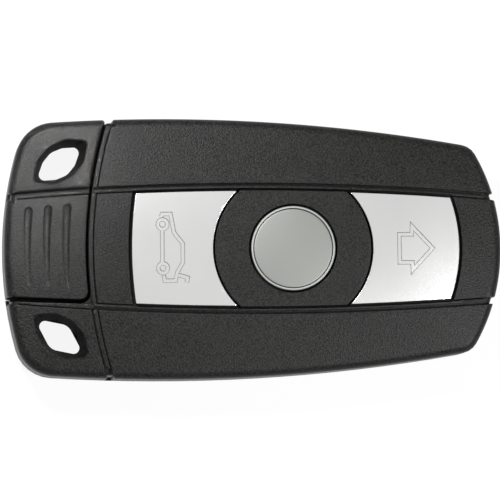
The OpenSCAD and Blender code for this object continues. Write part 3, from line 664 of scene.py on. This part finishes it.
def paint_throat_shade(piece, way):
    """Paints shade on the walls of a ring hole: a darker, duller plastic stands in for the shade inside the
    throat.
    """
    piece.data.materials.append(throat_shade_paint)
    middle = Vector((hole_x, way * hole_y)) * mm
    turn = Matrix.Rotation(-way * math.radians(hole_slant), 2)
    for face in piece.data.polygons:
        spot = turn @ (face.center.xy - middle)
        near = (spot.x / hole_length) ** 2 + (spot.y / hole_width) ** 2 < (throat_reach * mm) ** 2
        low = min(piece.data.vertices[i].co.z for i in face.vertices)
        if near and abs(face.normal.z) < steep and low < (rim_z - wall / 3) * mm:
            face.material_index = 1


combine(top_case, "DIFFERENCE", *ring_hole(-1, parting_z - throat_lap, rim_z))
top_case.data.materials.append(case_plastic)
paint_throat_shade(top_case, -1)
soften(top_case)
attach(top_case, "case")
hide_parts("upper_shell")


# Centre plate. Grained black moulding between the silver caps, with straight ears under the
# lid's rim and a round opening for the unlock button; it snaps into the lid from below.
bezel = (6.1, 0.0, 12.3)
cap_gap = 0.25
unlock_r = 6.6
unlock_room = 0.32
unlock_hole_r = unlock_r + unlock_room
flange_z = 10.4
flange_t = 0.6
flange_top = flange_z + flange_t
flange_w = 0.6
plate_lip = 0.15
plate_gap = 0.05
seat_room = 0.1
lip_lift = 0.02


def lathe(profile, centre=bezel, steps=96, closed=False):
    """A turned solid from its half section, in millimetres, about an upright axis."""
    bm = bmesh.new()
    corners = [bm.verts.new((r, 0, z)) for r, z in profile]
    for first, second in zip(corners, corners[1:] + corners[:closed]):
        bm.edges.new((first, second))
    bmesh.ops.spin(bm, geom=[*bm.verts, *bm.edges], cent=(0, 0, 0), axis=(0, 0, 1), angle=2 * math.pi,
                   steps=steps, use_merge=True)
    bmesh.ops.remove_doubles(bm, verts=bm.verts, dist=touch)
    bmesh.ops.translate(bm, verts=bm.verts, vec=(centre[0], centre[1], 0))
    return bm


def opening_cutter():
    """Round cutter whose flared top follows the crowned face."""
    foot_z = 9
    lip_z = rim_z + lip_lift
    top_z = lip_z + 3
    lip_r = unlock_hole_r + plate_lip
    seat_r = unlock_r + flange_w + cap_gap
    seat_z = flange_top + seat_room
    bm = lathe([(0, foot_z), (seat_r, foot_z), (seat_r, seat_z), (unlock_hole_r, seat_z),
                (unlock_hole_r, lip_z - plate_lip), (unlock_hole_r + plate_lip / 3, lip_z - plate_lip / 3),
                (lip_r, lip_z), (lip_r, top_z), (0, top_z)])
    follow_crown(bm, lip_z - 2 * plate_lip)
    return solid("opening", bm)


def plate_block():
    """Visible face of the plate, which fills the band between the two caps."""
    arcs = [bezel, band_arc(-1, -plate_gap), bezel, band_arc(1, -plate_gap)]
    hints = [(-1.5, -9), (15, -9), (15, 9), (-1.5, 9)]
    return block(arcs, hints, flange_z, rim_z, lip=plate_lip)


def ear_block():
    """Ears that reach under the lid's rim on both sides."""
    arcs = [bezel, band_arc(-1, flange_w), bezel, band_arc(1, flange_w)]
    hints = [(-1.5, -9.5), (15, -9.5), (15, 9.5), (-1.5, 9.5)]
    return block(arcs, hints, flange_z + set_back, ceiling_z - set_back, lip=0, lift=False)


centre_plate = combine(solid("centre_plate", plate_block()), "UNION", solid("ears", ear_block()))
combine(centre_plate, "DIFFERENCE", opening_cutter())
centre_plate.data.materials.append(case_plastic)
soften(centre_plate)
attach(centre_plate, "case")
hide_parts("centre_bezel")


# Trunk and lock caps. Satin silver-painted plastic with softly rounded edges; the symbols are
# shallow channels sunk in the face, and a flange under the lid's rim keeps each cap in.
silver_tone = (0.79, 0.79, 0.785, 1)
cap_proud = 0.15
cap_lip = 0.12
bezel_gap = 0.25
side_gap = 0.2
end_gap = 0.45
mark_w = 0.7
mark_depth = 0.2
mark_draft = 0.13
mark_margin = 1.2
paint_start = 0.01
upright_slope = 0.1
level_slope = 0.9
arrow = [(22.75, 2.15), (24.7, 2.15), (24.75, 3.4), (28, 0), (24.85, -3.4), (24.8, -2.25), (22.8, -2.25)]
car_body = [(-14.55, 4.9), (-14.4, 5.35), (-13.1, 5.35), (-12.6, 2.6), (-12.35, 2.15), (-11.2, 0.75),
            (-11.2, -2.25), (-12.05, -3.7), (-12.35, -5.05), (-14, -5.05), (-14.2, -4.2)]
car_sill = [(-14.4, 2.9), (-14.4, -2.25)]
car_lid = [(-11.9, -4.15), (-10.45, -4.6), (-10.6, -5.35)]
wheel_r = 0.75
wheel_sides = 24
wheels = [(-14.35, 3.75), (-14.3, -3.1)]


def satin_silver(name, tone, roughness):
    """Metal-flake paint: a faint sparkle in tone and gloss over a smooth ground."""
    material, shader, place = new_finish(name, Metallic=0.85)
    flake = place.noise(0.07 * mm, 2.0)
    drift = place.noise(6 * mm)
    (0.6 * flake + 0.4 * drift).tones(shade(tone, 0.93), shade(tone, 1.05)).feeds(shader, "Base Color")
    (roughness - 0.05 + 0.1 * flake).feeds(shader, "Roughness")
    flake.bump(0.004 * mm, 0.3).feeds(shader, "Normal")
    return material


def settle(bm, base):
    """Lays a cutter drawn about z = 0 on the crowned face."""
    for v in bm.verts:
        v.co.z += base + crown(v.co.x, v.co.y)
    return bm


def mark_section(middle=0.0):
    """Cross section of an engraved line with a flat floor and steep walls, about its middle."""
    wide, narrow = mark_w / 2 + mark_draft, mark_w / 2 - mark_draft
    return [(middle - wide, mark_depth), (middle + wide, mark_depth),
            (middle + narrow, -mark_depth), (middle - narrow, -mark_depth)]


def channel(path, closed=False):
    """Cutter for an engraved line: the section carried along a path with mitred corners."""
    bm = bmesh.new()
    points = [Vector(place) for place in path]
    steps = [(after - place).normalized() for place, after in zip(points, points[1:] + points[:1])]
    if not closed:
        steps[-1] = steps[-2]
    rings = []
    for i, place in enumerate(points):
        before = steps[i - 1] if i or closed else steps[0]
        middle = (before + steps[i]).normalized()
        side = Vector((-middle.y, middle.x)) / middle.dot(before)
        corners = [bm.verts.new((*(place + across * side), z)) for across, z in mark_section()]
        rings.append([bm.edges.new(pair) for pair in zip(corners, corners[1:] + corners[:1])])
    for ring, following in zip(rings, rings[1:] + rings[:closed]):
        bmesh.ops.bridge_loops(bm, edges=ring + following)
    if not closed:
        for ring in (rings[0], rings[-1]):
            bmesh.ops.contextual_create(bm, geom=ring)
    return solid("channel", settle(bm, rim_z + cap_proud))


def wheel(centre):
    """Cutter for one ring-shaped line."""
    ring = lathe(mark_section(wheel_r), centre, wheel_sides, closed=True)
    return solid("wheel", settle(ring, rim_z + cap_proud))


def cap_blocks(end, reach):
    """Cap body and its retaining flange, from the window's end arc to the centre plate."""
    way = 1 if reach > bezel[0] else -1
    bay = (bezel[0], bezel[1], -(bezel[2] + bezel_gap))
    near = bezel[0] + way * 9
    made = []
    for end_grow, grow, z1, lip, lift in ((-end_gap, -side_gap, rim_z + cap_proud, cap_lip, True),
                                          (flange_w, flange_w, flange_top, 0, False)):
        far = (end[0], end[1], end[2] + end_grow)
        arcs = [far, band_arc(-1, grow), bay, band_arc(1, grow)]
        hints = [(reach, -9), (near, -9), (near, 9), (reach, 9)]
        made.append(solid("cap", block(arcs, hints, flange_z, z1, lip=lip, lift=lift)))
    return made


def bare_sides(piece, paint):
    """Paint on the face of a cap, and bare black plastic on its flange and upright walls."""
    piece.data.materials.append(paint)
    piece.data.materials.append(case_plastic)
    for face in piece.data.polygons:
        if face.center.z < (flange_top + paint_start) * mm or abs(face.normal.z) < upright_slope:
            face.material_index = 1


def paint_channel_shade(piece, lines):
    """Painted shade on the sloping walls of the engraved lines: a darker, duller silver stands in for the
    shade in the channels.
    """
    piece.data.materials.append(channel_shade_paint)
    xs, ys = zip(*[place for line in lines for place in line])
    for face in piece.data.polygons:
        x, y, z = face.center / mm
        inside = (min(xs) - mark_margin < x < max(xs) + mark_margin
                  and min(ys) - mark_margin < y < max(ys) + mark_margin)
        if inside and z > rim_z - mark_depth and upright_slope < abs(face.normal.z) < level_slope:
            face.material_index = 2


silver_paint = satin_silver("silver_paint", silver_tone, 0.2)
# The darker silver on the channel walls is painted shade.
channel_shade_paint = satin_silver("channel_shade_silver", shade(silver_tone, 0.45), 0.6)
car_cutters = [channel(path) for path in (car_body, car_sill, car_lid)] + [wheel(place) for place in wheels]
arrow_cutters = [channel(arrow, closed=True)]
for cap_name, body, node, end_arc, reach, lines, cutters in (
        ("trunk_cap", "trunk_key", "trunk_button", split_arc(split_r - left_panel), -18,
         [car_body, car_lid], car_cutters),
        ("lock_cap", "lock_key", "lock_button", slot_arc(end_panel), 32, [arrow], arrow_cutters)):
    cap, flange = cap_blocks(end_arc, reach)
    cap.name = cap_name
    combine(cap, "UNION", flange)
    combine(cap, "DIFFERENCE", *cutters)
    bare_sides(cap, silver_paint)
    paint_channel_shade(cap, lines)
    soften(cap, angle=40)
    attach(cap, body)
    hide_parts(node)


# Unlock button. Satin chromed carrier turned about one axis, with a bright raised rim that frames
# the blank disc; it slides in the centre plate and is kept in by a flange below.
chrome_tone = (0.3, 0.305, 0.295, 1)
rim_w = 0.35
rim_top = 12.95
badge_seat = 12.1
rim_round = 0.16
ring_touch = 1e-3


def round_edges(bm, r, z, offset):
    """Rounds the turned edge that lies at one radius and height."""
    def on_ring(v):
        from_axis = math.hypot(v.co.x - bezel[0], v.co.y - bezel[1])
        return abs(v.co.z - z) < ring_touch and abs(from_axis - r) < ring_touch

    round_off(bm, [e for e in bm.edges if all(on_ring(v) for v in e.verts)], offset, 4)


carrier = lathe([(0, flange_z), (unlock_r + flange_w, flange_z), (unlock_r + flange_w, flange_top),
                 (unlock_r, flange_top), (unlock_r, rim_top), (unlock_r - rim_w, rim_top),
                 (unlock_r - rim_w, badge_seat), (0, badge_seat)])
round_edges(carrier, unlock_r, rim_top, rim_round)
round_edges(carrier, unlock_r - rim_w, rim_top, rim_round / 2)
unlock_rim = solid("unlock_rim", carrier)
bare_sides(unlock_rim, satin_silver("satin_chrome", chrome_tone, 0.6))
soften(unlock_rim)
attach(unlock_rim, "unlock_key")
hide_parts("unlock_button")


# Badge disc. Blank disc stamped from thin metal, with a slightly domed face under satin paint;
# it is glued into the seat inside the carrier's rim.
badge_tone = (0.2, 0.205, 0.192, 1)
badge_gap = 0.08
badge_r = unlock_r - rim_w - badge_gap
badge_dome_r = 80.0
badge_top = 13.03
badge_edge = 0.12
badge_rings = 16

bm = bmesh.new()
apex = bm.verts.new((0, 0, badge_top))
bmesh.ops.spin(bm, geom=[apex], cent=(0, 0, badge_top - badge_dome_r), axis=(0, 1, 0),
               angle=math.asin(badge_r / badge_dome_r), steps=badge_rings)
dome = sorted(((v.co.x, v.co.z) for v in bm.verts), key=lambda place: place[0])
bm.free()
disc = lathe([*dome, (badge_r, badge_seat), (0, badge_seat)])
round_edges(disc, *dome[-1], badge_edge)
blank_badge = solid("blank_badge", disc)
blank_badge.data.materials.append(satin_silver("badge_paint", badge_tone, 0.5))
soften(blank_badge)
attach(blank_badge, "unlock_key")
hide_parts("badge_disc")


# Rear cover. Black plastic lid over the coin cell with three thumb ribs; a rubber ring in its
# groove keeps water out.
rubber_tone = (0.012, 0.012, 0.012, 1)
cover_edge = 0.2 * mm

cover_plate = copy_of("battery_cover", "cover_plate", cover_edge)
cover_plate.data.materials.append(case_plastic)
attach(cover_plate, "rear_cover")
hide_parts("battery_cover")
dress(grained_plastic("seal_rubber", rubber_tone, 0.3 * mm, 0.6), "cover_seal")


# Emergency key grip. Black moulding with the second ring hole and three tapering finger channels;
# its split face follows the lid, and the blade is pinned into it.
grip_split = -(split_r + split_gap / 2)
grip_gap = 0.15
grip_low = lug_edge - grip_gap
grip_rise = 0.55
joint_lap = 0.42
grip_z = parting_z + grip_gap
stagger = 0.02
foot_lap = 0.1
shoulder = 0.42
finger_start = 3.6
finger_pitch = 3.0
finger_length = 12.9
finger_growth = 0.5
finger_shift = 0.2
finger_r = 0.8
finger_depth = 0.25
finger_fade = 0.022
finger_cuts = 8
finger_count = 3


def grip_block(upper, z0, z1, inset=0.0, lip=groove_lip):
    """A block of the grip up to its band edge or, without one, over its whole outline."""
    raised = z1 > z0
    lap = min(inset, set_back) if raised else joint_lap
    low = edge_line(grip_rise * raised + lap - grip_low, lap - grip_low)
    split = split_arc(grip_split - lap)
    corner = corner_arc(low, split, grip_corner_r - lap, (-28, -6))
    side, _, at_ring = outer_rounds(1, inset)
    top = [upper] if upper else [side, at_ring]
    arcs = [low, corner, split, *top, ring_arc(inset)]
    hints = [(-28, -8), (-26.5, -6), (-26, 9) if upper else (-24, 20)]
    hints += [(-38, 8)] if upper else [(-33, 19), (-37, 14)]
    return block(arcs, [*hints, (-38.5, -7.5)], z0, z1, rounded=[ring_arc(inset), *([] if upper else top)],
                 round_r=edge_r - inset, lip=lip, lift=raised)


def finger_channel(x, length):
    """Capsule cutter bowed like the split face, deepest at its upper end."""
    half = length / 2 - finger_r
    bm = bmesh.new()
    bmesh.ops.create_uvsphere(bm, u_segments=20, v_segments=9, radius=finger_r)
    bmesh.ops.rotate(bm, verts=bm.verts, cent=(0, 0, 0), matrix=Matrix.Rotation(math.pi / 2, 3, "X"))
    for v in bm.verts:
        v.co.y += math.copysign(half, v.co.y)
    for i in range(1, finger_cuts):
        slice_at(bm, (0, half * (2 * i / finger_cuts - 1), 0), (0, 1, 0))
    bow_r = split_x + split_r - x
    for v in bm.verts:
        v.co.x += split_x + split_r - math.sqrt(bow_r ** 2 - v.co.y ** 2)
        v.co.z += finger_r - finger_depth - finger_fade * v.co.y
        v.co.y += finger_shift
    return solid("finger_channel", settle(bm, rim_z))


grip = solid("grip", grip_block(None, grip_z, rim_z - groove_sink, groove_depth, lip=0))
combine(grip, "UNION", solid("grip_foot", grip_block(None, grip_z + foot_lap, 0, set_back)),
        solid("grip_lug", lug(1, -grip_split, grip_z + stagger, shoulder)),
        solid("grip_band", grip_block(band_arc(1), grip_z + 2 * stagger, rim_z)),
        bead("grip_bead", [band_arc(1, slit), split_arc(set_back - grip_split),
                           band_arc(1, groove_w - wide_slit), ring_arc(bead_end)],
             [(-26, 9), (-26, 9), (-37, 8), (-37, 8)]))
combine(grip, "DIFFERENCE", *ring_hole(1, parting_z - throat_lap, rim_z),
        *ring_hole(1, parting_z + throat_lap, 0),
        *[finger_channel(x_ring + finger_start + i * finger_pitch, finger_length + i * finger_growth)
          for i in range(finger_count)])
grip.data.materials.append(case_plastic)
paint_throat_shade(grip, 1)
soften(grip)
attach(grip, "emergency_key")
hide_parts("key_grip")


# Emergency blade and its pin. Milled nickel-silver bar with a track along both faces and a notch
# for the latch, cross-pinned in the grip.
blade_tone = (0.6, 0.59, 0.56, 1)
blade_edge = 0.15 * mm

blade = copy_of("key_blade", "blade", blade_edge)
blade_metal = drawn_metal("milled_nickel_silver", blade_tone, 0.32, 0.08 * mm, 0)
blade.data.materials.append(blade_metal)
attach(blade, "emergency_key")
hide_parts("key_blade")
dress(blade_metal, "blade_pin")


# Floor, light and camera. A white sweep under soft light from above, and a long lens that looks
# down on the button face from a little towards the ring end and the lower side.
eye_place = Vector((-0.072, -0.0479, 0.9))
aim = Vector((-0.00018, 0.00006, 0.0065))
frame_width = 0.07857
upright = Vector((0.0055, 1, 0))
sensor = 36.0
floor_size = 3.0
floor_drop = 0.05 * mm
floor_tone = (0.1, 0.1, 0.1, 1)
floor_glow = 0.9
ambient = 0.16
backdrop = 0.6

camera = bpy.data.cameras.new("camera")
eye = bpy.data.objects.new("camera", camera)
bpy.context.scene.collection.objects.link(eye)
back = (eye_place - aim).normalized()
right = upright.cross(back).normalized()
facing = Matrix((right, back.cross(right), back)).transposed().to_4x4()
eye.matrix_world = Matrix.Translation(eye_place) @ facing
camera.sensor_width = sensor
camera.lens = sensor * (eye_place - aim).length / frame_width
bpy.context.scene.camera = eye


def backdrop_rays(tree):
    """One where a camera, glossy or transmission ray looks at the backdrop, zero for other light."""
    seen, mirrored, passed = [Wire(tree).node("LightPath", {}, {}, "Is " + kind + " Ray")
                              for kind in ("Camera", "Glossy", "Transmission")]
    return seen + mirrored + passed


bm = bmesh.new()
bmesh.ops.create_grid(bm, x_segments=1, y_segments=1, size=floor_size / 2)
bmesh.ops.translate(bm, verts=bm.verts, vec=(0, 0, -floor_drop))
floor = make_piece("floor", bm)
floor_finish, floor_shader, floor_place = new_finish("white_sweep", Roughness=0.9, Emission_Strength=1.0)
mottle = floor_place.noise(4 * mm)
mottle.tones(shade(floor_tone, 0.95), shade(floor_tone, 1.05)).feeds(floor_shader, "Base Color")
(floor_glow * backdrop_rays(floor_finish.node_tree)).feeds(floor_shader, "Emission Color")
floor.data.materials.append(floor_finish)

world = bpy.data.worlds.new("studio")
bpy.context.scene.world = world
world.use_nodes = True
sky = world.node_tree.nodes["Background"]
sky.inputs["Color"].default_value = (1, 1, 1, 1)
(ambient + (backdrop - ambient) * backdrop_rays(world.node_tree)).feeds(sky, "Strength")


def soft_lamp(name, place, size, watts, target=(0, 0, 0), spread=180):
    """Round area lamp that faces a target."""
    lamp = bpy.data.lights.new(name, "AREA")
    lamp.shape = "DISK"
    lamp.size = size
    lamp.energy = watts
    lamp.spread = math.radians(spread)
    holder = bpy.data.objects.new(name, lamp)
    bpy.context.scene.collection.objects.link(holder)
    turn = (Vector(place) - Vector(target)).to_track_quat("Z", "Y")
    holder.matrix_world = Matrix.Translation(place) @ turn.to_matrix().to_4x4()


soft_lamp("key_light", place=(-0.062, 0.072, 0.15), size=0.05, watts=0.34)
soft_lamp("fill_light", place=(0.14, -0.085, 0.25), size=0.12, watts=0.6)
soft_lamp("grip_light", place=(0.01, 0.08, 0.12), size=0.02, watts=0.003,
          target=(-0.035, 0.009, 0.012), spread=6)

bpy.context.scene.view_settings.view_transform = "Standard"
